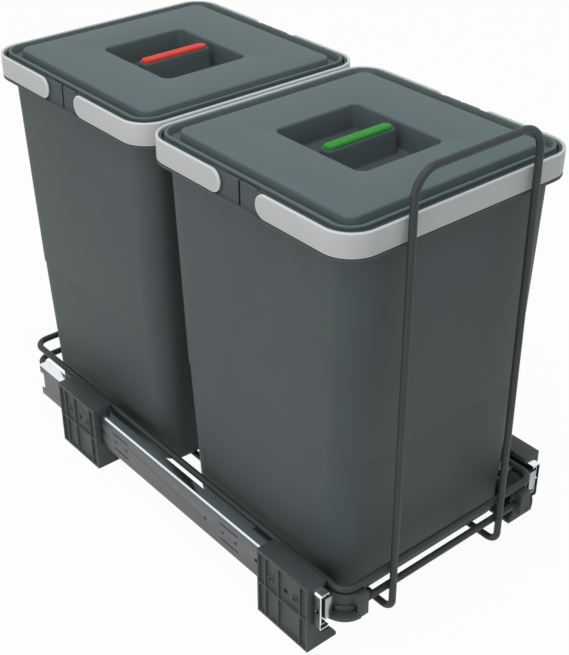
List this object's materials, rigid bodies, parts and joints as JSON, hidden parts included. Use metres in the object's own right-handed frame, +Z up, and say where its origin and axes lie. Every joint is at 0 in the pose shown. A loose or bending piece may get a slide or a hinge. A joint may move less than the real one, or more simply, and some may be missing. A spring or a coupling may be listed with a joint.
{
  "type": "pull-out waste bin unit",
  "caption": "Tall lidded plastic bins, one behind the other, in a bent-wire pull-out frame with a tall front arch, on side-mounted ball-bearing slides",
  "frame": {"origin": "under the middle of the whole unit, on the plane of the bracket bottoms", "axes": "+X across the unit, -Y towards the front that is pulled, +Z up"},
  "size_m": [0.3544, 0.628, 0.532],
  "materials": {
    "bracket_plastic": "matte",
    "bin_plastic": "matte",
    "lid_plastic": "matte",
    "handle_plastic": "satin",
    "green_plastic": "satin",
    "red_plastic": "satin",
    "cage_plastic": "matte",
    "wire_paint": "satin",
    "slide_steel": "satin",
    "screw_steel": "satin"
  },
  "bodies": {
    "cabinet_side": {"bracket_front_left": "bracket_plastic", "bracket_front_right": "bracket_plastic", "bracket_rear_left": "bracket_plastic", "bracket_rear_right": "bracket_plastic", "slide_outer_left": "slide_steel", "slide_outer_right": "slide_steel", "slide_screws": "screw_steel"},
    "middle_slides": {"slide_middle_left": "slide_steel", "slide_middle_right": "slide_steel"},
    "outer_cages": {"outer_ball_cage_left": "cage_plastic", "outer_ball_cage_right": "cage_plastic", "outer_balls_left": "screw_steel", "outer_balls_right": "screw_steel"},
    "inner_cages": {"inner_ball_cage_left": "cage_plastic", "inner_ball_cage_right": "cage_plastic", "inner_balls_left": "screw_steel", "inner_balls_right": "screw_steel"},
    "carriage": {"slide_inner_left": "slide_steel", "slide_inner_right": "slide_steel", "upper_ring": "wire_paint", "lower_ring": "wire_paint", "pull_arch": "wire_paint", "frame_hanger_left": "wire_paint", "frame_hanger_right": "wire_paint", "hanger_screws": "screw_steel", "corner_guide_left": "bracket_plastic", "corner_guide_right": "bracket_plastic", "slide_end_tab_left": "slide_steel", "slide_end_tab_right": "slide_steel"},
    "front_bin": {"front_bin": "bin_plastic"},
    "rear_bin": {"rear_bin": "bin_plastic"},
    "front_lid": {"front_lid": "lid_plastic", "front_lid_insert": "green_plastic"},
    "rear_lid": {"rear_lid": "lid_plastic", "rear_lid_insert": "red_plastic"},
    "front_bin_front_handle": {"front_bin_front_handle": "handle_plastic"},
    "front_bin_rear_handle": {"front_bin_rear_handle": "handle_plastic"},
    "rear_bin_front_handle": {"rear_bin_front_handle": "handle_plastic"},
    "rear_bin_rear_handle": {"rear_bin_rear_handle": "handle_plastic"}
  },
  "joints": [
    {"name": "main_slide", "type": "slide", "parent": "cabinet_side", "child": "carriage", "axis": [0, -1, 0], "range_m": [0, 0.55]},
    {"name": "middle_slide", "type": "slide", "parent": "cabinet_side", "child": "middle_slides", "axis": [0, -1, 0], "range_m": [0, 0.275]},
    {"name": "outer_cage_slide", "type": "slide", "parent": "cabinet_side", "child": "outer_cages", "axis": [0, -1, 0], "range_m": [0, 0.1375]},
    {"name": "inner_cage_slide", "type": "slide", "parent": "cabinet_side", "child": "inner_cages", "axis": [0, -1, 0], "range_m": [0, 0.4125]},
    {"name": "front_bin_lift", "type": "slide", "parent": "carriage", "child": "front_bin", "axis": [0, 0, 1], "range_m": [0, 0.2]},
    {"name": "front_lid_lift", "type": "slide", "parent": "front_bin", "child": "front_lid", "axis": [0, 0, 1], "range_m": [0, 0.06]},
    {"name": "front_bin_front_handle_hinge", "type": "hinge", "parent": "front_bin", "child": "front_bin_front_handle", "pos_m": [0, -0.1867, 0.471], "axis": [-1, 0, 0], "range_deg": [0, 90]},
    {"name": "front_bin_rear_handle_hinge", "type": "hinge", "parent": "front_bin", "child": "front_bin_rear_handle", "pos_m": [0, -0.1087, 0.471], "axis": [1, 0, 0], "range_deg": [0, 90]},
    {"name": "rear_bin_lift", "type": "slide", "parent": "carriage", "child": "rear_bin", "axis": [0, 0, 1], "range_m": [0, 0.2]},
    {"name": "rear_lid_lift", "type": "slide", "parent": "rear_bin", "child": "rear_lid", "axis": [0, 0, 1], "range_m": [0, 0.06]},
    {"name": "rear_bin_front_handle_hinge", "type": "hinge", "parent": "rear_bin", "child": "rear_bin_front_handle", "pos_m": [0, 0.1228, 0.471], "axis": [-1, 0, 0], "range_deg": [0, 90]},
    {"name": "rear_bin_rear_handle_hinge", "type": "hinge", "parent": "rear_bin", "child": "rear_bin_rear_handle", "pos_m": [0, 0.2008, 0.471], "axis": [1, 0, 0], "range_deg": [0, 90]}
  ],
  "couplings": [
    {"joint": "middle_slide", "follows": "main_slide", "ratio": 0.5},
    {"joint": "outer_cage_slide", "follows": "main_slide", "ratio": 0.25},
    {"joint": "inner_cage_slide", "follows": "main_slide", "ratio": 0.75}
  ]
}
